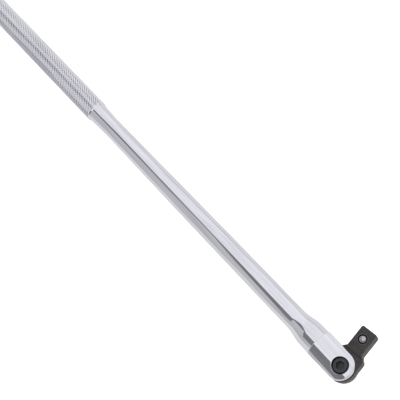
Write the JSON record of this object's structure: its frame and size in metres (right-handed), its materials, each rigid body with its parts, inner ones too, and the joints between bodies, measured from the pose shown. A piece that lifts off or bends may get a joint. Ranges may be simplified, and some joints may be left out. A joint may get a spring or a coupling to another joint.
{
  "type": "breaker bar",
  "caption": "Flex-head breaker bar: a long chromed steel handle with a knurled grip and a yoke, and a hinged square drive head with a spring ball.",
  "frame": {"origin": "on the axis of the square drive, at the shoulder that a socket comes up to", "axes": "+X along the handle, from the grip towards the yoke; +Z along the pivot screw, towards its head; +Y across the handle, to the side that the stored drive points to"},
  "size_m": [0.4496, 0.0435, 0.022],
  "materials": {
    "chrome": "bright nickel-chrome plate",
    "black_steel": "satin black phosphate on alloy steel",
    "screw_black": "black oxide",
    "bright_steel": "polished bearing steel",
    "spring_steel": "oiled spring wire"
  },
  "bodies": {
    "handle": {"handle_bar": "chrome", "pivot_screw": "screw_black", "spring_washer": "spring_steel", "friction_spring": "spring_steel"},
    "head": {"drive_head": "black_steel", "retaining_spring": "spring_steel"},
    "friction_ball": {"friction_ball": "bright_steel"},
    "retaining_ball": {"retaining_ball": "bright_steel"}
  },
  "joints": [
    {"name": "head_pivot", "type": "hinge", "parent": "handle", "child": "head", "pos_m": [0.00172, -0.01309, 0], "axis": [0, 0, 1], "range_deg": [-197.5, 2.5]},
    {"name": "friction_ball_slide", "type": "slide", "parent": "handle", "child": "friction_ball", "axis": [-1, 0, 0], "range_m": [0, 0.0005], "stiffness_N_per_m": 4000, "springref_m": -0.001, "deforming": ["friction_spring"]},
    {"name": "retaining_ball_slide", "type": "slide", "parent": "head", "child": "retaining_ball", "axis": [0, 0, -1], "range_m": [0, 0.0014], "stiffness_N_per_m": 3000, "springref_m": -0.001, "deforming": ["retaining_spring"]}
  ]
}
